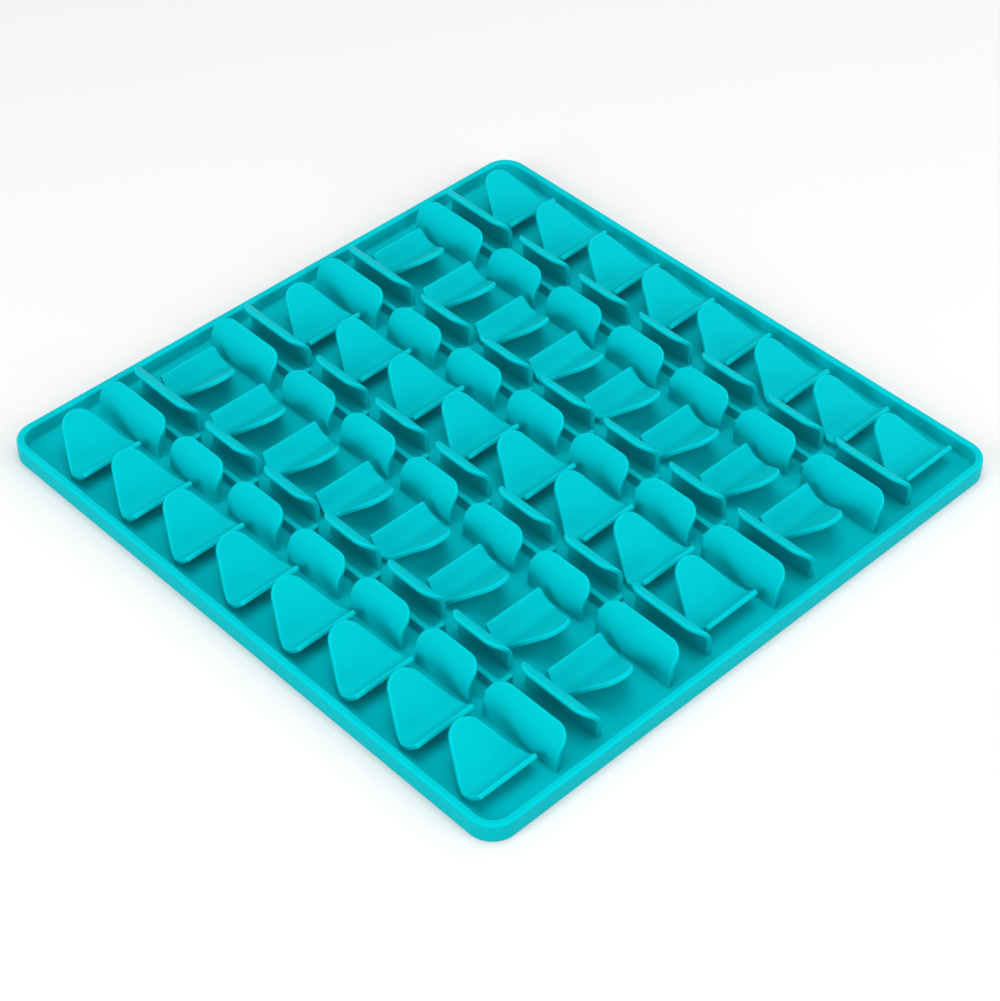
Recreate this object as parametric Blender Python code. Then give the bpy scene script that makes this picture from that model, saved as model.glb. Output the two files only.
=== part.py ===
"""A lick mat of moulded silicone: a square tray with a low rim, whose floor carries
96 soft flaps in nine bands. Millimetres in the tables below, metres in the mesh.

The bands run along X. Bands of folded flaps (a leaf-shaped tongue that rises from a round
trough with a short lip) alternate with bands of paired blades that curl towards each other."""

import math

import bmesh
import bpy
from mathutils import Vector

MM = 0.001

# The tray
SIDE = 254.0
CORNER_RADIUS = 10.0
CORNER_STEPS = 8
FLOOR_TOP = 2.0
RIM_TOP = 7.8
RIM_WIDTH = 3.0
EDGE_ROUND = 0.6

# One row for each ring of the tray's skin, from the underside over the rim to the floor
TRAY_RINGS = (
    # inset   height
    (0.0, 0.0),
    (0.0, RIM_TOP - EDGE_ROUND),
    (EDGE_ROUND, RIM_TOP),
    (RIM_WIDTH - EDGE_ROUND, RIM_TOP),
    (RIM_WIDTH, RIM_TOP - EDGE_ROUND),
    (RIM_WIDTH + 0.5, FLOOR_TOP + 0.9),
    (RIM_WIDTH + 1.4, FLOOR_TOP),
)

# Nine bands: the step from one to the next along Y, and where the middle of each kind lies.
# Flaps, blades and crosses start at the root height, inside the floor.
LAST_BAND = 4
BAND_STEP = 26.51
FLAPS_MIDDLE = (0.73, -1.05)
BLADES_MIDDLE = (0.2, -0.2)
ROOT_HEIGHT = 1.2

# Folded flaps: 8 to a band. A flap is one bent sheet: a straight tongue comes down to a trough,
# where the sheet bends most sharply in the middle, and a short straight lip rises from it.
# Lengths are along the middle of the sheet, from the tongue's tip, and places are from the
# flap's own middle, towards the lip.
FLAP_COUNT = 8
FLAP_PITCH = 29.02
FLAP_SHEET = 1.78
TIP_PLACE = -12.07
TIP_HEIGHT = 16.86
TIP_START = 0.1
TONGUE_ANGLE = 39.7
TONGUE_LENGTH = 15.9
TONGUE_STEPS = 6
TROUGH_LENGTH = 11.0
TROUGH_TURN = 86.1
TROUGH_STEPS = 5
LIP_LENGTH = 3.26
FLAP_LENGTH = TONGUE_LENGTH + TROUGH_LENGTH + LIP_LENGTH

# The leaf's outline: a round tip, straight sides up to its widest place, and a slight taper
TIP_RADIUS = 7.04
SIDE_SLOPE = 0.42
WIDEST_LENGTH = 21.0
LIP_HALF = 12.77

# The trough stands on a stem, whose two sides meet the floor below these steps of the trough
STEM_HALF_LENGTH = 12.0
STEM_SIDES = {2: 3.1, 3: 6.5}

# Paired blades: five to a row between two longer ones at its ends. One row of the foot's
# table for each height at which the outer face flares towards the floor. The sheet thins
# towards the tip, over the taper's length, and the corners beside the tip are rounded. The
# blades on the +Y side of a row are a little shorter, and lie a little towards -X.
INNER_BLADES = 5
BLADE_PITCH = 32.5
BLADE_HALF_LENGTH = 13.0
END_BLADE_MIDDLE = 101.85
END_BLADE_HALF_LENGTH = 17.25
FAR_BLADES_SHIFT = -0.6
FAR_BLADES_TRIM = 0.4
BLADE_FACE = 11.0
BLADE_FOOT = (
    # flare  height
    (0.6, ROOT_HEIGHT),
    (0.2, FLOOR_TOP + 1.4),
)
BLADE_SHEET = 2.1
BLADE_TIP_SHEET = 1.5
BLADE_TAPER = 12.0
CURL_START = 6.9
CURL_RADIUS = 9.5
CURL_ANGLE = 66.0
CURL_STEPS = 5
TIP_STRAIGHT = 1.9
TIP_BREAK = 0.7
BLADE_CORNER = 6.6

# Low crosses in the gaps of the paired rows
CROSS_TOP = 6.3
CROSS_ARM_WIDTH = 2.2
CROSS_ALONG = 12.0
CROSS_ACROSS = 6.0

TEAL = (0.0, 0.62, 0.66)
SATIN = 0.5


def clear_scene():
    for item in list(bpy.data.objects):
        bpy.data.objects.remove(item, do_unlink=True)


def plastic(name, colour, roughness):
    material = bpy.data.materials.new(name)
    material.use_nodes = True
    shader = material.node_tree.nodes["Principled BSDF"]
    shader.inputs["Base Color"].default_value = (*colour, 1.0)
    shader.inputs["Roughness"].default_value = roughness
    shader.inputs["Metallic"].default_value = 0.0
    return material


def rounded_square(half, radius):
    """Corner arcs of a square, anticlockwise from the +X side of the (+X, -Y) corner."""
    points = []
    for quarter in range(4):
        middle = Vector((half - radius, half - radius))
        for step in range(CORNER_STEPS + 1):
            angle = math.pi / 2 * step / CORNER_STEPS
            corner = middle + radius * Vector((math.cos(angle), math.sin(angle)))
            turn = math.pi / 2 * quarter
            points.append((corner.x * math.cos(turn) - corner.y * math.sin(turn),
                           corner.x * math.sin(turn) + corner.y * math.cos(turn)))
    return points


def loft(mesh, sections):
    """Skin closed sections of the same count, the first seen clockwise from outside,
    and cap both ends."""
    loops = [[mesh.verts.new(Vector(point) * MM) for point in section] for section in sections]
    count = len(loops[0])
    for lower, upper in zip(loops, loops[1:]):
        for i in range(count):
            j = (i + 1) % count
            mesh.faces.new((lower[i], lower[j], upper[j], upper[i]))
    mesh.faces.new(reversed(loops[0]))
    mesh.faces.new(loops[-1])


def add_tray(mesh):
    sections = []
    for inset, height in TRAY_RINGS:
        outline = rounded_square(SIDE / 2 - inset, CORNER_RADIUS - inset)
        sections.append([(x, y, height) for x, y in outline])
    loft(mesh, sections)


def leaf_half_width(length):
    side_angle = math.atan(SIDE_SLOPE)
    arc_end = TIP_RADIUS * (1 - math.sin(side_angle))
    if length < arc_end:
        return math.sqrt(TIP_RADIUS ** 2 - (TIP_RADIUS - length) ** 2)
    widest = TIP_RADIUS * math.cos(side_angle) + (WIDEST_LENGTH - arc_end) * SIDE_SLOPE
    if length < WIDEST_LENGTH:
        return widest - (WIDEST_LENGTH - length) * SIDE_SLOPE
    return widest + (LIP_HALF - widest) * (length - WIDEST_LENGTH) / (FLAP_LENGTH - WIDEST_LENGTH)


def trough_slope(share):
    """Slope of a flap's sheet at a share of its trough, where it turns by a smooth step."""
    return math.radians(TROUGH_TURN * share * share * (3 - 2 * share) - TONGUE_ANGLE)


def flap_middle_line():
    """Stations along the middle of a flap's sheet: place, height, angle, length and where the
    stem's side meets the floor, which is None where the sheet hangs free."""
    slope = trough_slope(0.0)
    line = []
    for step in range(TONGUE_STEPS + 1):
        length = TIP_START + (TONGUE_LENGTH - TIP_START) * (step / TONGUE_STEPS) ** 2
        line.append((TIP_PLACE + length * math.cos(slope), TIP_HEIGHT + length * math.sin(slope),
                     slope, length, None))
    place, height, _, length, _ = line[-1]
    step_length = TROUGH_LENGTH / TROUGH_STEPS
    for step in range(1, TROUGH_STEPS + 1):
        slope = trough_slope((step - 0.5) / TROUGH_STEPS)
        place += step_length * math.cos(slope)
        height += step_length * math.sin(slope)
        length += step_length
        line.append((place, height, trough_slope(step / TROUGH_STEPS), length, STEM_SIDES.get(step)))
    slope = trough_slope(1.0)
    line.append((place + LIP_LENGTH * math.cos(slope), height + LIP_LENGTH * math.sin(slope),
                 slope, FLAP_LENGTH, None))
    return line


def add_flap(mesh, middle_x, middle_y, towards):
    """A folded flap whose lip is on the +X side (towards = 1) or the -X side (-1)."""
    sections = []
    for place, height, angle, length, stem_side in flap_middle_line():
        half = leaf_half_width(length)
        across = FLAP_SHEET / 2 * math.sin(angle)
        up = FLAP_SHEET / 2 * math.cos(angle)
        upper_x = middle_x + towards * (place - across)
        lower_x, lower_height, lower_half = middle_x + towards * (place + across), height - up, half
        if stem_side is not None:
            lower_x = middle_x + towards * stem_side
            lower_height, lower_half = ROOT_HEIGHT, STEM_HALF_LENGTH
        sections.append(((upper_x, middle_y - towards * half, height + up),
                         (upper_x, middle_y + towards * half, height + up),
                         (lower_x, middle_y + towards * lower_half, lower_height),
                         (lower_x, middle_y - towards * lower_half, lower_height)))
    loft(mesh, sections)


def blade_profile():
    """Stations of a blade: distance of its outer face from the row's middle plane, height,
    direction up the sheet and distance along the sheet to the tip."""
    stations = [(BLADE_FACE + flare, height, 0.0) for flare, height in BLADE_FOOT]
    for step in range(CURL_STEPS + 1):
        angle = math.radians(CURL_ANGLE) * step / CURL_STEPS
        stations.append((BLADE_FACE - CURL_RADIUS * (1 - math.cos(angle)),
                         CURL_START + CURL_RADIUS * math.sin(angle), angle))
    lean = math.radians(CURL_ANGLE)
    away, height, _ = stations[-1]
    for length in (TIP_STRAIGHT * TIP_BREAK, TIP_STRAIGHT):
        stations.append((away - length * math.sin(lean), height + length * math.cos(lean), lean))
    lengths = [0.0]
    for (a, b, _), (c, d, _) in zip(reversed(stations[:-1]), reversed(stations[1:])):
        lengths.insert(0, lengths[0] + math.hypot(a - c, b - d))
    return [station + (length,) for station, length in zip(stations, lengths)]


def corner_inset(length):
    """How far a blade's end is drawn in, at a distance along the sheet from its tip."""
    if length >= BLADE_CORNER:
        return 0.0
    return BLADE_CORNER - math.sqrt(BLADE_CORNER ** 2 - (BLADE_CORNER - length) ** 2)


def add_blade(mesh, middle_x, middle_y, half_length, side):
    """A blade on the -Y side (side = -1) or the +Y side (1) of its row's middle plane."""
    sections = []
    for away, height, lean, length in blade_profile():
        sheet = BLADE_TIP_SHEET + (BLADE_SHEET - BLADE_TIP_SHEET) * min(1.0, length / BLADE_TAPER)
        inner_away = away - sheet * math.cos(lean)
        inner_height = height - sheet * math.sin(lean)
        half = half_length - corner_inset(length)
        outer_y = middle_y + side * away
        inner_y = middle_y + side * inner_away
        left = middle_x + side * half
        right = middle_x - side * half
        sections.append(((left, outer_y, height), (right, outer_y, height),
                         (right, inner_y, inner_height), (left, inner_y, inner_height)))
    loft(mesh, sections)


def add_cross(mesh, middle_x, middle_y):
    arm = CROSS_ARM_WIDTH / 2
    outline = []
    for turn, along in ((0, CROSS_ALONG), (1, CROSS_ACROSS), (2, CROSS_ALONG), (3, CROSS_ACROSS)):
        for across in (-arm, arm):
            x, y = along, across
            for _ in range(turn):
                x, y = -y, x
            outline.append((middle_x + x, middle_y + y))
        corner = (arm, arm)
        for _ in range(turn):
            corner = (-corner[1], corner[0])
        outline.append((middle_x + corner[0], middle_y + corner[1]))
    loft(mesh, [[(x, y, height) for x, y in outline] for height in (ROOT_HEIGHT, CROSS_TOP)])


def blade_places():
    """The middle and half length of each of a row's seven blades, along X."""
    places = [(-END_BLADE_MIDDLE, END_BLADE_HALF_LENGTH)]
    places += [(BLADE_PITCH * (step - (INNER_BLADES - 1) / 2), BLADE_HALF_LENGTH)
               for step in range(INNER_BLADES)]
    places.append((END_BLADE_MIDDLE, END_BLADE_HALF_LENGTH))
    return places


def add_bands(mesh):
    for band in range(-LAST_BAND, LAST_BAND + 1):
        if band % 2:
            middle_x, middle_y = BLADES_MIDDLE[0], BLADES_MIDDLE[1] + BAND_STEP * band
            for along, half_length in blade_places():
                add_blade(mesh, middle_x + along, middle_y, half_length, -1)
                add_blade(mesh, middle_x + along + FAR_BLADES_SHIFT, middle_y,
                          half_length - FAR_BLADES_TRIM, 1)
            for gap in range(INNER_BLADES + 1):
                add_cross(mesh, middle_x + BLADE_PITCH * (gap - INNER_BLADES / 2), middle_y)
        else:
            towards = 1 if band % 4 == 0 else -1
            middle_x, middle_y = FLAPS_MIDDLE[0], FLAPS_MIDDLE[1] + BAND_STEP * band
            for step in range(FLAP_COUNT):
                along = FLAP_PITCH * (step - (FLAP_COUNT - 1) / 2)
                add_flap(mesh, middle_x + along, middle_y, towards)


def new_object(name, fill):
    mesh = bmesh.new()
    fill(mesh)
    data = bpy.data.meshes.new(name)
    mesh.to_mesh(data)
    mesh.free()
    thing = bpy.data.objects.new(name, data)
    bpy.context.scene.collection.objects.link(thing)
    return thing


def main():
    clear_scene()
    silicone = plastic("teal silicone", TEAL, SATIN)
    mat = new_object("mat", add_tray)
    mat.data.materials.append(silicone)
    flaps = new_object("flaps_to_join", add_bands)
    flaps.data.materials.append(silicone)
    flaps.hide_render = True
    flaps.display_type = "WIRE"
    union = mat.modifiers.new("flaps on the floor", "BOOLEAN")
    union.operation = "UNION"
    union.solver = "EXACT"
    union.object = flaps


main()
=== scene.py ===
"""The looks of a moulded silicone lick mat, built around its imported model.

One closed skin stands for the whole mat. Its tray, folded flaps, paired blades and crosses all
grow out of one floor, with the rounded edges and the fillets of a moulding. Sizes below are in
millimetres, and the mesh is in metres. Each form is made once and copied to its places."""

import math

import bpy
import bmesh
from mathutils import Matrix, Vector
from mathutils.geometry import delaunay_2d_cdt


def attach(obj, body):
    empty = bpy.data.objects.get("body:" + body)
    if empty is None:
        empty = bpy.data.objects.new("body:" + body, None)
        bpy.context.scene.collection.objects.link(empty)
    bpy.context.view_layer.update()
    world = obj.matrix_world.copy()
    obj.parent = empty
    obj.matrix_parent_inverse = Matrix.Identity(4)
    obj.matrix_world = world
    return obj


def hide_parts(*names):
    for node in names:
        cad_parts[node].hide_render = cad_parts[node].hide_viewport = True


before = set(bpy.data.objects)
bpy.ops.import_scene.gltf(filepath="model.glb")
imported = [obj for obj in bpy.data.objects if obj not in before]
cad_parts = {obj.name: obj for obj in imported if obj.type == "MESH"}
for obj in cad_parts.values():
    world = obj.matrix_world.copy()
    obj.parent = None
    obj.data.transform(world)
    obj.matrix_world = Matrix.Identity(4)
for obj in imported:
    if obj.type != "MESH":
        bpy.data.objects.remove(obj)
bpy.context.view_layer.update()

MM = 0.001

# Tray
SIDE = 254.0
CORNER_RADIUS = 10.0
CORNER_STEPS = 14
FLOOR_TOP = 2.0
RIM_TOP = 7.8
RIM_WIDTH = 3.0
RIM_ROUND = 0.9
RIM_DRAFT = 0.3
RIM_FILLET = 1.0
BOTTOM_ROUND = 0.35

# Bands along X: the number of the last one, counted from the middle one, their step along Y, and
# where the middle of each kind lies
LAST_BAND = 4
BAND_STEP = 26.51
FLAPS_MIDDLE = (0.73, -1.05)
BLADES_MIDDLE = (0.2, -0.2)

# Folded flaps, along the middle of the sheet from the tongue's tip: a flat tongue with a round
# tip and straight sides, a bend that is sharpest in the middle of the trough, and a flat lip
FLAP_COUNT = 8
FLAP_PITCH = 29.02
FLAP_SHEET = 1.78
FLAP_EDGE_ROUND = 0.5
TIP_PLACE = -12.07
TIP_HEIGHT = 16.86
TIP_RADIUS = 7.04
TONGUE_ANGLE = 39.7
TONGUE_LENGTH = 15.9
BEND_LENGTH = 11.0
BEND_TURN = 86.1
LIP_LENGTH = 3.26
LIP_CORNER = 0.8
SIDE_SLOPE = 0.42
WIDEST_LENGTH = 21.0
LIP_HALF = 12.77
TIP_STEPS = 10
SIDE_STEPS = 3
BEND_STEPS = 16
LIP_STEPS = 3
LINE_STEPS = 400

# The stem under a trough: which steps of the trough it carries, and its own section
STEM_FIRST_STEP = 6
STEM_LAST_STEP = 10
STEM_MIDDLE = 4.8
STEM_HALF_WIDTH = 1.7
STEM_HALF_LENGTH = 12.0
STEM_END_ROUND = 1.2
STEM_TOP_FLARE = 0.5
STEM_TOP = 2.65
STEM_FILLET = 0.5

# Paired blades: five in a row between two longer ones. Those on a row's +Y side are shifted along
# X, and trimmed at both ends
INNER_BLADES = 5
BLADE_PITCH = 32.5
FAR_BLADES_SHIFT = -0.6
FAR_BLADES_TRIM = 0.4
BLADE_HALF_LENGTH = 13.0
END_BLADE_MIDDLE = 101.85
END_BLADE_HALF_LENGTH = 17.25
BLADE_FACE = 11.0
BLADE_SHEET = 2.1
BLADE_TIP_SHEET = 1.5
BLADE_TAPER = 12.0
BLADE_EDGE_ROUND = 0.55
BLADE_FILLET = 0.45
BLADE_WALL_STEPS = 2
CURL_START = 6.9
CURL_RADIUS = 9.5
CURL_ANGLE = 66.0
CURL_STEPS = 10
TIP_STRAIGHT = 1.9
BLADE_CORNER = 6.6
BLADE_CORNER_STEPS = 10

# Crosses in the gaps of the paired rows
CROSS_TOP = 6.3
CROSS_ARM_WIDTH = 2.2
CROSS_ALONG = 12.0
CROSS_ACROSS = 6.0
CROSS_END_ROUND = 0.9
CROSS_INNER_ROUND = 0.9
CROSS_TOP_ROUND = 0.45
CROSS_FILLET = 0.4
CROSS_STEPS = 3

# Facets of a rounded edge, of the rim's and of a fillet
ROUND_STEPS = 4
RIM_ROUND_STEPS = 5
FILLET_STEPS = 4

# Flat strips that keep the faces beside a rounding shaded flat: along an edge, in the middle of a
# sheet's end, on a cross and beside the tray's corners
FLAT_STRIP = 0.25
END_STRIP = 0.75
CROSS_STRIP = 0.125
CORNER_STRIP = 2.0

# Lengths and a side's turn that follow from the sizes above
FLAP_LENGTH = TONGUE_LENGTH + BEND_LENGTH + LIP_LENGTH
SIDE_TURN = math.atan(SIDE_SLOPE)
BLADE_WALL = CURL_START - FLOOR_TOP - BLADE_FILLET
CURL_LENGTH = CURL_RADIUS * math.radians(CURL_ANGLE)
BLADE_LENGTH = BLADE_WALL + CURL_LENGTH + TIP_STRAIGHT

# How the floor is filled: with the triangles inside its loops, and points this near are one
TRIANGLES_INSIDE = 1
SAME_POINT = 1e-6

# The skin's bends, in degrees between two faces: where they start to change its painted light, where
# they have changed it fully, and the painted shade of a sharp crease and the painted highlight of an
# edge
BEND_NAME = "bend"
BEND_FROM = 8.0
BEND_FULL = 20.0
PAINTED_CREASE_SHADE = 0.82
PAINTED_EDGE_HIGHLIGHT = 1.09

# Silicone: two shades, where on its cloudiness each one starts, and how it shines
DARK_TEAL = (0.0, 0.41, 0.456, 1.0)
LIGHT_TEAL = (0.0, 0.432, 0.479, 1.0)
DARK_PLACE = 0.3
LIGHT_PLACE = 0.7
CLOUD_SCALE = 22.0
CLOUD_DETAIL = 3.0
REFRACTION = 1.41
SPECULAR_LEVEL = 0.05
SPECULAR_TINT = (0.0, 0.85, 1.0, 1.0)
LEAST_ROUGH = 0.42
MOST_ROUGH = 0.56
GRAIN_SCALE = 1400.0
GRAIN_DETAIL = 2.0
GRAIN_STRENGTH = 0.08
GRAIN_DEPTH = 0.2

# Camera, solved from the photograph's straight edges
CAMERA_AZIMUTH = 45.04
CAMERA_ELEVATION = 43.85
CAMERA_ROLL = 1.12
CAMERA_DISTANCE = 892.9
CAMERA_AIM = (14.77, -14.22, 0.0)
CAMERA_LENS = 89.53
SENSOR_WIDTH = 36.0

# Stage: the pale floor, and the even light from all round
STAGE_HALF = 4000.0
STAGE_GREY = (0.66, 0.66, 0.66, 1.0)
STAGE_ROUGHNESS = 0.9
STAGE_SPECULAR_LEVEL = 0.1
WHITE = (1.0, 1.0, 1.0, 1.0)
STUDIO_STRENGTH = 0.68

# Soft lights: their distance in metres, and for each one its name, azimuth from the camera's,
# elevation, power in watts and size in metres
LIGHT_DISTANCE = 1.5
SOFTBOXES = (
    ("overhead", 0.0, 90.0, 10.1, 0.9),
    ("front", 0.0, 50.0, 1.4, 0.8),
    ("left front", -48.0, 25.0, 10.8, 0.8),
    ("right front", 60.0, 25.0, 8.4, 0.8),
    ("right back", 120.0, 25.0, 3.7, 0.8),
)


class Skin:
    """Points, faces and the loops in which a form meets the floor."""

    def __init__(self):
        self.points = []
        self.faces = []
        self.floor_loops = []

    def add_loop(self, points):
        """Adds a row of points and gives their numbers."""
        first = len(self.points)
        self.points.extend(points)
        return list(range(first, len(self.points)))

    def bridge(self, one, other, closed=True):
        """Faces between two loops or rows with as many points."""
        count = len(one)
        for i in range(count if closed else count - 1):
            j = (i + 1) % count
            self.faces.append((one[i], one[j], other[j], other[i]))

    def add_copy(self, form, middle, turn=(1, 1)):
        """A copy of a form, moved to its middle and turned or mirrored by the two signs."""
        first = len(self.points)
        for x, y, z in form.points:
            self.points.append((middle[0] + turn[0] * x, middle[1] + turn[1] * y, z))
        for face in form.faces:
            self.faces.append(tuple(first + corner for corner in face))
        for loop in form.floor_loops:
            self.floor_loops.append([first + corner for corner in loop])

    def add_foot(self, wall_loop, outwards, fillet):
        """A fillet from a level loop of a wall down to the floor, and a flat strip round it."""
        last = wall_loop
        offsets = quarter_round(fillet, 0.0, 90.0, FILLET_STEPS)[1:]
        offsets.append((fillet + FLAT_STRIP, 0.0))
        for away, height in offsets:
            ring = []
            for corner, (out_x, out_y) in zip(wall_loop, outwards):
                x, y, _ = self.points[corner]
                ring.append((x + away * out_x, y + away * out_y, FLOOR_TOP + height))
            loop = self.add_loop(ring)
            self.bridge(last, loop)
            last = loop
        self.floor_loops.append(last)


def arc(first, last, steps):
    """Angles in radians from one to another given in degrees."""
    return [math.radians(first + (last - first) * step / steps) for step in range(steps + 1)]


def quarter_round(radius, first, last, steps):
    """Insets from two faces at a right angle, along the rounding between them, which runs from
    one angle to another, given in degrees."""
    return [(radius * (1 - math.cos(angle)), radius * (1 - math.sin(angle)))
            for angle in arc(first, last, steps)]


def between(first, last, steps):
    """Lengths at even steps from one to another, without the first."""
    return [first + (last - first) * step / steps for step in range(1, steps + 1)]


def edge_section(rounding):
    """Section of a sheet's rounded edge, from its upper face round to its lower face.

    A row is the inset from the sheet's outline, the depth as a share of the sheet and as an
    added length, and the outward direction across the outline and in depth."""
    rows = [(rounding + FLAT_STRIP, 0.0, 0.0, 0.0, -1.0)]
    for angle in arc(90.0, 0.0, ROUND_STEPS):
        rows.append((rounding * (1 - math.cos(angle)), 0.0, rounding * (1 - math.sin(angle)),
                     math.cos(angle), -math.sin(angle)))
    for angle in arc(0.0, 90.0, ROUND_STEPS):
        rows.append((rounding * (1 - math.cos(angle)), 1.0, -rounding * (1 - math.sin(angle)),
                     math.cos(angle), math.sin(angle)))
    rows.append((rounding + FLAT_STRIP, 1.0, 0.0, 0.0, 1.0))
    return rows


def inward_directions(outline, before, after):
    """Directions from each point of an outline, given as length and half width, into it."""
    padded = [before] + outline + [after]
    directions = []
    for (length_a, half_a), (length_b, half_b) in zip(padded, padded[2:]):
        run, rise = length_b - length_a, half_b - half_a
        size = math.hypot(run, rise)
        directions.append((rise / size, -run / size))
    return directions


def leaf_half_width(length):
    """Half width of a flap: an arc round the tip, straight sides and a slight taper to the lip."""
    arc_end = TIP_RADIUS * (1 - math.sin(SIDE_TURN))
    if length < arc_end:
        return math.sqrt(max(TIP_RADIUS ** 2 - (length - TIP_RADIUS) ** 2, 0.0))
    widest = TIP_RADIUS * math.cos(SIDE_TURN) + (WIDEST_LENGTH - arc_end) * SIDE_SLOPE
    if length < WIDEST_LENGTH:
        return widest - (WIDEST_LENGTH - length) * SIDE_SLOPE
    return widest + (LIP_HALF - widest) * (length - WIDEST_LENGTH) / (FLAP_LENGTH - WIDEST_LENGTH)


def flap_slope(length):
    """Slope in radians of a flap's sheet, which turns by a smooth step along its bend."""
    share = min(max((length - TONGUE_LENGTH) / BEND_LENGTH, 0.0), 1.0)
    return math.radians(BEND_TURN * share * share * (3 - 2 * share) - TONGUE_ANGLE)


def flap_line():
    """Place and height at even steps along the middle of a flap's sheet."""
    line = [(TIP_PLACE, TIP_HEIGHT)]
    step = FLAP_LENGTH / LINE_STEPS
    for number in range(LINE_STEPS):
        slope = flap_slope(step * (number + 0.5))
        line.append((line[-1][0] + step * math.cos(slope), line[-1][1] + step * math.sin(slope)))
    return line


FLAP_LINE = flap_line()


def flap_point(length, depth):
    """Place along the flap and height of a point at a depth under its sheet's upper face."""
    number = length / FLAP_LENGTH * LINE_STEPS
    first = min(int(number), LINE_STEPS - 1)
    share = number - first
    (place_a, height_a), (place_b, height_b) = FLAP_LINE[first], FLAP_LINE[first + 1]
    rise = FLAP_SHEET / 2 - depth
    slope = flap_slope(length)
    return (place_a + (place_b - place_a) * share - rise * math.sin(slope),
            height_a + (height_b - height_a) * share + rise * math.cos(slope))


def flap_outline():
    """Half the outline of a flap's sheet, from the tongue's tip to the middle of the lip's
    edge, as length and half width, and the number of its row where the bend starts."""
    lengths = [TIP_RADIUS * (1 - math.cos((math.pi / 2 - SIDE_TURN) * step / TIP_STEPS))
               for step in range(TIP_STEPS + 1)]
    lengths += between(lengths[-1], TONGUE_LENGTH, SIDE_STEPS)
    bend_row = len(lengths) - 1
    lip_start = TONGUE_LENGTH + BEND_LENGTH
    lengths += between(TONGUE_LENGTH, lip_start, BEND_STEPS)
    lengths += between(lip_start, FLAP_LENGTH - LIP_CORNER, LIP_STEPS)[:-1]
    outline = [(length, leaf_half_width(length)) for length in lengths]
    outline += [(FLAP_LENGTH - end_inset, LIP_HALF - side_inset)
                for end_inset, side_inset in quarter_round(LIP_CORNER, 90.0, 0.0, ROUND_STEPS)]
    outline.append((FLAP_LENGTH, LIP_HALF - LIP_CORNER - END_STRIP))
    return outline, bend_row


def make_flap():
    """A folded flap with its lip towards +X, its middle at the origin."""
    form = Skin()
    outline, bend_row = flap_outline()
    second, last = outline[1], outline[-1]
    inwards = inward_directions(outline, (second[0], -second[1]), (last[0], -last[1]))
    section = edge_section(FLAP_EDGE_ROUND)
    sides = []
    for side in (1, -1):
        rings = []
        for number, ((length, half), (in_length, in_half)) in enumerate(zip(outline, inwards)):
            if number == 0 and side == -1:
                rings.append(sides[0][0])
                continue
            ring = []
            for inset, share, added, _, _ in section:
                place, height = flap_point(length + inset * in_length, share * FLAP_SHEET + added)
                ring.append((place, side * (half + inset * in_half), height))
            rings.append(form.add_loop(ring))
        sides.append(rings)
        for one, other in zip(rings, rings[1:]):
            form.bridge(one, other, closed=False)
    right, left = sides
    form.bridge(right[-1], left[-1], closed=False)
    stem_rows = range(bend_row + STEM_FIRST_STEP, bend_row + STEM_LAST_STEP + 1)
    stem_top = add_stem(form, outline, stem_rows)
    for face, stem in ((0, {}), (-1, stem_top)):
        add_ruled_face(form, [ring[face] for ring in right], [ring[face] for ring in left], stem)
    return form


def add_ruled_face(form, right, left, stem):
    """The face between the two sides of a flap's sheet, with a hole where it meets the stem, of
    which it takes two points for each row that the stem carries."""
    form.faces.append((right[0], right[1], left[1]))
    for row in range(1, len(right) - 3):
        here, there = (left[row], right[row]), (left[row + 1], right[row + 1])
        if row in stem and row + 1 in stem:
            form.faces.append((here[1], there[1], stem[row + 1][0], stem[row][0]))
            form.faces.append((here[0], stem[row][1], stem[row + 1][1], there[0]))
        elif row + 1 in stem:
            form.faces.append((here[0], here[1], there[1], stem[row + 1][0], stem[row + 1][1], there[0]))
        elif row in stem:
            form.faces.append((here[0], stem[row][1], stem[row][0], here[1], there[1], there[0]))
        else:
            form.faces.append((here[0], here[1], there[1], there[0]))
    form.faces.append((left[-3], right[-3], right[-2], right[-1], left[-1], left[-2]))


def add_stem(form, outline, rows):
    """The stem under a trough. Gives, for each row of the sheet that it carries, its two
    points on the sheet's lower face."""
    top = {}
    for side in (1, -1):
        points = []
        for row in rows:
            place, height = flap_point(outline[row][0], FLAP_SHEET)
            points.append((place, side * (STEM_HALF_LENGTH + STEM_TOP_FLARE), height))
        for row, corner in zip(rows, form.add_loop(points)):
            top.setdefault(row, []).append(corner)
    loop = [top[row][0] for row in rows] + [top[row][1] for row in reversed(rows)]
    outwards, wall = [], []
    for side in (1, -1):
        angles = arc(180.0, 0.0, len(rows) - 1)
        for angle in angles if side == 1 else reversed(angles):
            out_x, out_y = math.cos(angle), side * math.sin(angle)
            wall.append((STEM_MIDDLE + STEM_HALF_WIDTH * out_x,
                         side * (STEM_HALF_LENGTH - STEM_END_ROUND) + STEM_END_ROUND * out_y, STEM_TOP))
            outwards.append((out_x, out_y))
    wall_loop = form.add_loop(wall)
    form.bridge(loop, wall_loop)
    form.add_foot(wall_loop, outwards, STEM_FILLET)
    return top


def blade_sheet(length_to_tip):
    """Thickness of a blade, which thins towards its tip."""
    share = min(1.0, max(length_to_tip, 0.0) / BLADE_TAPER)
    return BLADE_TIP_SHEET + (BLADE_SHEET - BLADE_TIP_SHEET) * share


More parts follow.
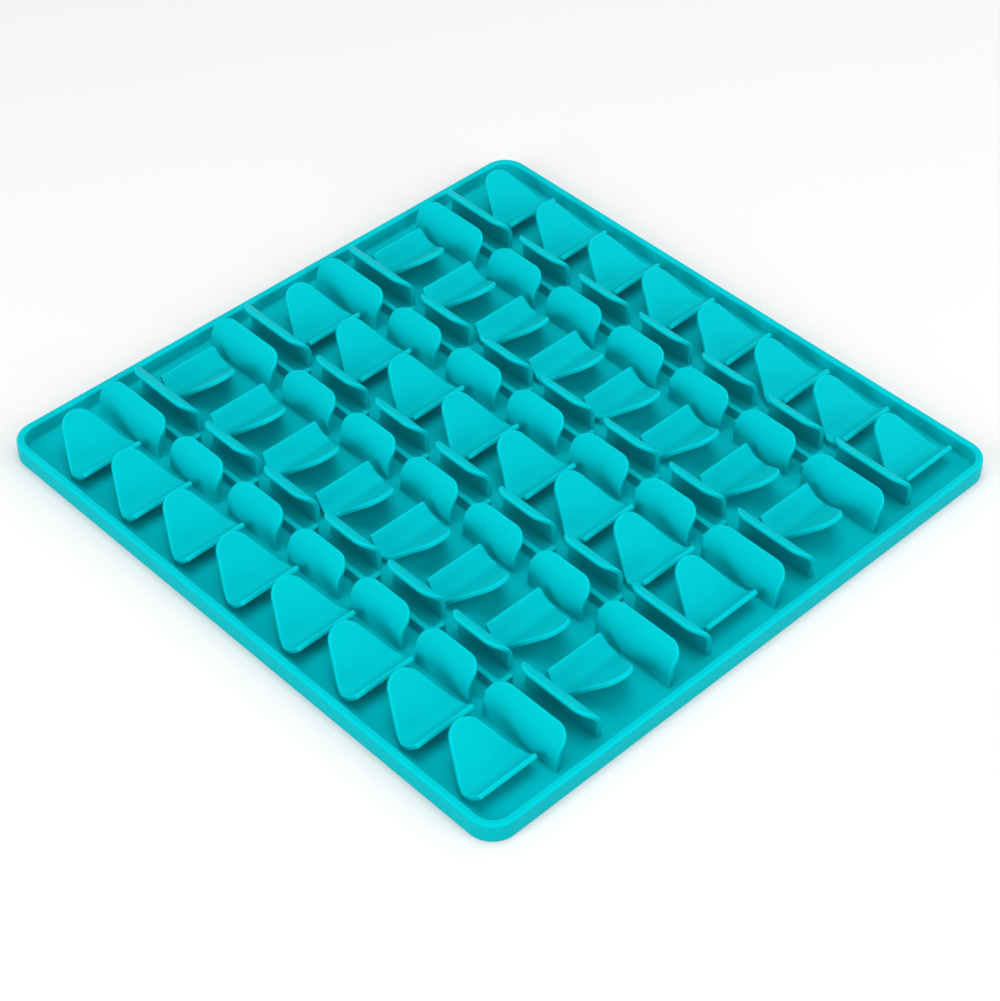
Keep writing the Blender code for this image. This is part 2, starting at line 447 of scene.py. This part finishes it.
def blade_point(length, share, added):
    """Distance from the row's middle plane and height of a point of a blade. The length runs up
    its outer face, from the top of its foot's fillet."""
    lean = min(max(length - BLADE_WALL, 0.0), CURL_LENGTH) / CURL_RADIUS
    beyond = max(length - BLADE_WALL - CURL_LENGTH, 0.0)
    away = BLADE_FACE - CURL_RADIUS * (1 - math.cos(lean)) - beyond * math.sin(lean)
    height = FLOOR_TOP + BLADE_FILLET + min(length, BLADE_WALL)
    height += CURL_RADIUS * math.sin(lean) + beyond * math.cos(lean)
    depth = share * blade_sheet(BLADE_LENGTH - length) + added
    return away - depth * math.cos(lean), height - depth * math.sin(lean)


def blade_outline(half_length):
    """Half the outline of a blade, from its foot to the middle of its tip's edge."""
    lengths = [0.0] + between(0.0, BLADE_WALL, BLADE_WALL_STEPS)
    lengths += between(BLADE_WALL, BLADE_LENGTH - BLADE_CORNER, CURL_STEPS)[:-1]
    outline = [(length, half_length) for length in lengths]
    outline += [(BLADE_LENGTH - end_inset, half_length - side_inset)
                for end_inset, side_inset in quarter_round(BLADE_CORNER, 90.0, 0.0, BLADE_CORNER_STEPS)]
    outline.append((BLADE_LENGTH, half_length - BLADE_CORNER - END_STRIP))
    return outline


def make_blade(half_length):
    """A blade on the +Y side of its row's middle plane, which is at the origin."""
    form = Skin()
    outline = blade_outline(half_length)
    last = outline[-1]
    inwards = inward_directions(outline, (-1.0, half_length), (last[0], -last[1]))
    section = edge_section(BLADE_EDGE_ROUND)
    sides = []
    for side in (1, -1):
        rings = []
        for (length, half), (in_length, in_half) in zip(outline, inwards):
            ring = []
            for inset, share, added, _, _ in section:
                away, height = blade_point(length + inset * in_length, share, added)
                ring.append((side * (half + inset * in_half), away, height))
            rings.append(form.add_loop(ring))
        sides.append(rings)
        for one, other in zip(rings, rings[1:]):
            form.bridge(one, other, closed=False)
    right, left = sides
    form.bridge(right[-1], left[-1], closed=False)
    for face in (0, -1):
        rows = [(left[row][face], right[row][face]) for row in range(len(outline))]
        for here, there in zip(rows, rows[1:-2]):
            form.faces.append((here[0], here[1], there[1], there[0]))
        form.faces.append((rows[-3][0], rows[-3][1], rows[-2][1], rows[-1][1], rows[-1][0], rows[-2][0]))
    outwards = [(across, -depth) for _, _, _, across, depth in section]
    outwards += [(-across, -depth) for _, _, _, across, depth in reversed(section)]
    form.add_foot(right[0] + left[0][::-1], outwards, BLADE_FILLET)
    return form


def cross_outline():
    """A cross seen from above, anticlockwise, each point with its outward direction."""
    arm = CROSS_ARM_WIDTH / 2
    outline = []
    for quarter in range(4):
        reach = CROSS_ACROSS if quarter % 2 else CROSS_ALONG
        rows = []
        for middle_y, first in ((CROSS_END_ROUND - arm, -90.0), (arm - CROSS_END_ROUND, 0.0)):
            for angle in arc(first, first + 90.0, CROSS_STEPS):
                out = (math.cos(angle), math.sin(angle))
                rows.append((reach - CROSS_END_ROUND + CROSS_END_ROUND * out[0],
                             middle_y + CROSS_END_ROUND * out[1], *out))
        for angle in arc(-90.0, -180.0, CROSS_STEPS):
            out = (-math.cos(angle), -math.sin(angle))
            corner = arm + CROSS_INNER_ROUND
            rows.append((corner - CROSS_INNER_ROUND * out[0], corner - CROSS_INNER_ROUND * out[1], *out))
        for x, y, out_x, out_y in rows:
            for _ in range(quarter):
                x, y, out_x, out_y = -y, x, -out_y, out_x
            outline.append((x, y, out_x, out_y))
    return outline


def make_cross():
    """A low cross, its middle at the origin."""
    form = Skin()
    outline = cross_outline()
    levels = [(0.0, FLOOR_TOP + CROSS_FILLET), (0.0, CROSS_TOP - CROSS_TOP_ROUND - FLAT_STRIP)]
    levels += [(inset, CROSS_TOP - drop)
               for inset, drop in quarter_round(CROSS_TOP_ROUND, 0.0, 90.0, ROUND_STEPS)]
    levels.append((CROSS_TOP_ROUND + CROSS_STRIP, CROSS_TOP))
    loops = [form.add_loop([(x - inset * out_x, y - inset * out_y, height)
                            for x, y, out_x, out_y in outline]) for inset, height in levels]
    for one, other in zip(loops, loops[1:]):
        form.bridge(one, other)
    form.faces.append(tuple(loops[-1]))
    form.add_foot(loops[0], [(out_x, out_y) for _, _, out_x, out_y in outline], CROSS_FILLET)
    return form


def tray_loop(inset, height):
    """A level loop of the tray, a rounded square with a point beside each end of its arcs."""
    half = SIDE / 2 - inset
    radius = CORNER_RADIUS - inset
    points = []
    for quarter in range(4):
        corner = half - radius
        rows = [(half, corner - CORNER_STRIP)]
        rows += [(corner + radius * math.cos(angle), corner + radius * math.sin(angle))
                 for angle in arc(0.0, 90.0, CORNER_STEPS)]
        rows.append((corner - CORNER_STRIP, half))
        for x, y in rows:
            for _ in range(quarter):
                x, y = -y, x
            points.append((x, y, height))
    return points


def tray_rings():
    """Inset and height of each ring of the tray, from its underside over the rim to the floor."""
    rings = [(BOTTOM_ROUND + FLAT_STRIP, 0.0)]
    rings += [(inset, height)
              for height, inset in quarter_round(BOTTOM_ROUND, 0.0, 90.0, ROUND_STEPS)]
    rings.append((0.0, BOTTOM_ROUND + FLAT_STRIP))
    rings.append((0.0, RIM_TOP - RIM_ROUND - FLAT_STRIP))
    rim_round = quarter_round(RIM_ROUND, 0.0, 90.0, RIM_ROUND_STEPS)
    rings += [(inset, RIM_TOP - drop) for inset, drop in rim_round]
    rings += [(RIM_WIDTH - inset, RIM_TOP - drop) for drop, inset in rim_round]
    foot = RIM_WIDTH + RIM_DRAFT
    rings += [(foot + away, FLOOR_TOP + height)
              for away, height in quarter_round(RIM_FILLET, 0.0, 90.0, FILLET_STEPS)]
    rings.append((foot + RIM_FILLET + FLAT_STRIP, FLOOR_TOP))
    return rings


def add_tray(skin):
    """The tray, without the top of its floor. It comes first, so its loop is floor loop 0."""
    loops = [skin.add_loop(tray_loop(inset, height)) for inset, height in tray_rings()]
    for one, other in zip(loops, loops[1:]):
        skin.bridge(one, other)
    skin.faces.append(tuple(loops[0]))
    skin.floor_loops.append(loops[-1])


def inside(point, ring):
    """Whether a flat point lies in a ring of points."""
    x, y = point
    found = False
    for (ax, ay), (bx, by) in zip(ring, ring[1:] + ring[:1]):
        if (ay > y) != (by > y) and x < ax + (bx - ax) * (y - ay) / (by - ay):
            found = not found
    return found


def fill_floor(skin):
    """The floor: the tray's inner loop filled round the loops of all that stands on it."""
    corners = [corner for loop in skin.floor_loops for corner in loop]
    owner, edges = [], []
    for number, loop in enumerate(skin.floor_loops):
        first = len(owner)
        owner += [number] * len(loop)
        edges += [(first + i, first + (i + 1) % len(loop)) for i in range(len(loop))]
    flat = [Vector(skin.points[corner][:2]) for corner in corners]
    rings = [[skin.points[corner][:2] for corner in loop] for loop in skin.floor_loops]
    points, _, triangles, origins, _, _ = delaunay_2d_cdt(flat, edges, [], TRIANGLES_INSIDE, SAME_POINT)
    for triangle in triangles:
        ends = [origins[corner][0] for corner in triangle]
        loops = {owner[end] for end in ends}
        if len(loops) == 1 and 0 not in loops:
            middle = sum((points[corner] for corner in triangle), Vector((0.0, 0.0))) / 3
            if inside(middle, rings[loops.pop()]):
                continue
        skin.faces.append(tuple(corners[end] for end in ends))


def blade_places():
    """Middle and half length of each blade of a row, along X."""
    places = [(-END_BLADE_MIDDLE, END_BLADE_HALF_LENGTH)]
    places += [(BLADE_PITCH * (step - (INNER_BLADES - 1) / 2), BLADE_HALF_LENGTH)
               for step in range(INNER_BLADES)]
    places.append((END_BLADE_MIDDLE, END_BLADE_HALF_LENGTH))
    return places


def add_blade_band(skin, blades, cross, band):
    """A double row of blades that curl towards each other, with crosses in its gaps."""
    middle_x, middle_y = BLADES_MIDDLE[0], BLADES_MIDDLE[1] + BAND_STEP * band
    for along, half in blade_places():
        for side, shift in ((1, FAR_BLADES_SHIFT), (-1, 0.0)):
            skin.add_copy(blades[half][side], (middle_x + along + shift, middle_y), (1, side))
    for gap in range(INNER_BLADES + 1):
        skin.add_copy(cross, (middle_x + BLADE_PITCH * (gap - INNER_BLADES / 2), middle_y))


def add_flap_band(skin, flap, band):
    """A row of folded flaps, turned half a turn in every other band of them."""
    towards = 1 if band % 4 == 0 else -1
    middle_x, middle_y = FLAPS_MIDDLE[0], FLAPS_MIDDLE[1] + BAND_STEP * band
    for step in range(FLAP_COUNT):
        along = FLAP_PITCH * (step - (FLAP_COUNT - 1) / 2)
        skin.add_copy(flap, (middle_x + along, middle_y), (towards, towards))


def add_bands(skin):
    """The bands from -Y to +Y, flaps and paired blades by turns."""
    flap, cross = make_flap(), make_cross()
    blades = {}
    for half in (BLADE_HALF_LENGTH, END_BLADE_HALF_LENGTH):
        blades[half] = {-1: make_blade(half), 1: make_blade(half - FAR_BLADES_TRIM)}
    for band in range(-LAST_BAND, LAST_BAND + 1):
        if band % 2:
            add_blade_band(skin, blades, cross, band)
        else:
            add_flap_band(skin, flap, band)


def new_mesh_object(name, points, faces, material):
    """A smooth mesh object from points in millimetres."""
    data = bpy.data.meshes.new(name)
    data.from_pydata([Vector(point) * MM for point in points], [], faces)
    mesh = bmesh.new()
    mesh.from_mesh(data)
    bmesh.ops.recalc_face_normals(mesh, faces=mesh.faces)
    mesh.to_mesh(data)
    mesh.free()
    data.shade_smooth()
    data.materials.append(material)
    thing = bpy.data.objects.new(name, data)
    bpy.context.scene.collection.objects.link(thing)
    return thing


def mark_bends(data):
    """Stores how sharply the skin bends at each point, above 0 on an edge and below in a crease."""
    mesh = bmesh.new()
    mesh.from_mesh(data)
    bends = []
    for point in mesh.verts:
        bend = max((edge.calc_face_angle_signed(0.0) for edge in point.link_edges), key=abs)
        size = min(max(math.degrees(abs(bend)) - BEND_FROM, 0.0) / (BEND_FULL - BEND_FROM), 1.0)
        bends.append(math.copysign(size, bend))
    mesh.free()
    data.attributes.new(BEND_NAME, "FLOAT", "POINT").data.foreach_set("value", bends)


def add_noise(nodes, links, place, scale, detail):
    """The value of a noise that lies still on the mat."""
    noise = nodes.new("ShaderNodeTexNoise")
    noise.inputs["Scale"].default_value = scale
    noise.inputs["Detail"].default_value = detail
    links.new(place, noise.inputs["Vector"])
    return noise.outputs["Fac"]


def add_clouded_teal(nodes, links, cloud):
    """The colour between the two shades of teal that the cloudiness gives."""
    tint = nodes.new("ShaderNodeValToRGB")
    dark, light = tint.color_ramp.elements
    dark.position = DARK_PLACE
    dark.color = DARK_TEAL
    light.position = LIGHT_PLACE
    light.color = LIGHT_TEAL
    links.new(cloud, tint.inputs["Fac"])
    return tint.outputs["Color"]


def add_painted_bend_light(nodes, links, colour):
    """A colour with painted shade in the skin's creases and a painted highlight on its edges, by how
    sharply it bends.
    """
    bend = nodes.new("ShaderNodeAttribute")
    bend.attribute_name = BEND_NAME
    shade = nodes.new("ShaderNodeMapRange")
    shade.inputs["From Min"].default_value = -1.0
    shade.inputs["To Min"].default_value = PAINTED_CREASE_SHADE
    shade.inputs["To Max"].default_value = PAINTED_EDGE_HIGHLIGHT
    links.new(bend.outputs["Fac"], shade.inputs["Value"])
    painted_lit_colour = nodes.new("ShaderNodeVectorMath")
    painted_lit_colour.operation = "SCALE"
    links.new(colour, painted_lit_colour.inputs[0])
    links.new(shade.outputs["Result"], painted_lit_colour.inputs["Scale"])
    return painted_lit_colour.outputs["Vector"]


def add_grain(nodes, links, place):
    """The normal that the fine grain of a moulding gives."""
    bump = nodes.new("ShaderNodeBump")
    bump.inputs["Strength"].default_value = GRAIN_STRENGTH
    bump.inputs["Distance"].default_value = GRAIN_DEPTH * MM
    links.new(add_noise(nodes, links, place, GRAIN_SCALE, GRAIN_DETAIL), bump.inputs["Height"])
    return bump.outputs["Normal"]


def silicone():
    """Teal silicone: satin, with a faint cloudiness and the fine grain of a moulding. Its edges
    carry a painted highlight, and its creases painted shade."""
    material = bpy.data.materials.new("teal silicone")
    material.use_nodes = True
    nodes, links = material.node_tree.nodes, material.node_tree.links
    shader = nodes["Principled BSDF"]
    shader.inputs["Metallic"].default_value = 0.0
    shader.inputs["Specular IOR Level"].default_value = SPECULAR_LEVEL
    shader.inputs["Specular Tint"].default_value = SPECULAR_TINT
    shader.inputs["IOR"].default_value = REFRACTION
    place = nodes.new("ShaderNodeTexCoord").outputs["Object"]
    cloud = add_noise(nodes, links, place, CLOUD_SCALE, CLOUD_DETAIL)
    # Base colour with a painted highlight on the edges and painted shade in the creases
    colour = add_painted_bend_light(nodes, links, add_clouded_teal(nodes, links, cloud))
    links.new(colour, shader.inputs["Base Color"])
    gloss = nodes.new("ShaderNodeMapRange")
    gloss.inputs["To Min"].default_value = LEAST_ROUGH
    gloss.inputs["To Max"].default_value = MOST_ROUGH
    links.new(cloud, gloss.inputs["Value"])
    links.new(gloss.outputs["Result"], shader.inputs["Roughness"])
    links.new(add_grain(nodes, links, place), shader.inputs["Normal"])
    return material


def add_mat():
    """The whole mat as one skin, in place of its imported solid."""
    skin = Skin()
    add_tray(skin)
    add_bands(skin)
    fill_floor(skin)
    mat = new_mesh_object("mat_skin", skin.points, skin.faces, silicone())
    # The bends steer the painted highlight on edges and the painted shade in creases
    mark_bends(mat.data)
    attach(mat, "root")
    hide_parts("mat")


def add_floor():
    """The wide pale floor that the mat lies on."""
    material = bpy.data.materials.new("pale floor")
    material.use_nodes = True
    shader = material.node_tree.nodes["Principled BSDF"]
    shader.inputs["Base Color"].default_value = STAGE_GREY
    shader.inputs["Roughness"].default_value = STAGE_ROUGHNESS
    shader.inputs["Specular IOR Level"].default_value = STAGE_SPECULAR_LEVEL
    corners = [(x * STAGE_HALF, y * STAGE_HALF, 0.0) for x, y in ((-1, -1), (1, -1), (1, 1), (-1, 1))]
    floor = new_mesh_object("floor", corners, [(0, 1, 2, 3)], material)


def add_camera():
    """The camera, at the photograph's viewing angle."""
    azimuth, elevation = math.radians(CAMERA_AZIMUTH), math.radians(CAMERA_ELEVATION)
    roll = math.radians(CAMERA_ROLL)
    back = Vector((math.cos(elevation) * math.sin(azimuth), -math.cos(elevation) * math.cos(azimuth),
                   math.sin(elevation)))
    level = Vector((math.cos(azimuth), math.sin(azimuth), 0.0))
    right = level * math.cos(roll) + back.cross(level) * math.sin(roll)
    up = back.cross(right)
    eye = (Vector(CAMERA_AIM) + back * CAMERA_DISTANCE) * MM
    data = bpy.data.cameras.new("camera")
    data.lens = CAMERA_LENS
    data.sensor_width = SENSOR_WIDTH
    data.sensor_fit = "HORIZONTAL"
    camera = bpy.data.objects.new("camera", data)
    camera.matrix_world = Matrix.Translation(eye) @ Matrix((right, up, back)).transposed().to_4x4()
    bpy.context.scene.collection.objects.link(camera)
    bpy.context.scene.camera = camera


def add_softbox(name, azimuth, elevation, power, size):
    """A square soft light aimed at the mat, its azimuth counted from the camera's to the right."""
    turn, rise = math.radians(CAMERA_AZIMUTH + azimuth), math.radians(elevation)
    towards = Vector((math.sin(turn) * math.cos(rise), -math.cos(turn) * math.cos(rise), math.sin(rise)))
    data = bpy.data.lights.new(name, "AREA")
    data.shape = "SQUARE"
    data.size = size
    data.energy = power
    light = bpy.data.objects.new(name, data)
    light.location = towards * LIGHT_DISTANCE
    light.rotation_euler = towards.to_track_quat("Z", "Y").to_euler()
    bpy.context.scene.collection.objects.link(light)


def add_lights():
    """Even white light from all round, and the soft lights."""
    world = bpy.data.worlds.new("studio")
    world.use_nodes = True
    background = world.node_tree.nodes["Background"]
    background.inputs["Color"].default_value = WHITE
    background.inputs["Strength"].default_value = STUDIO_STRENGTH
    bpy.context.scene.world = world
    for name, azimuth, elevation, power, size in SOFTBOXES:
        add_softbox(name, azimuth, elevation, power, size)
    bpy.context.scene.view_settings.view_transform = "Standard"


add_camera()
add_lights()
add_floor()
add_mat()
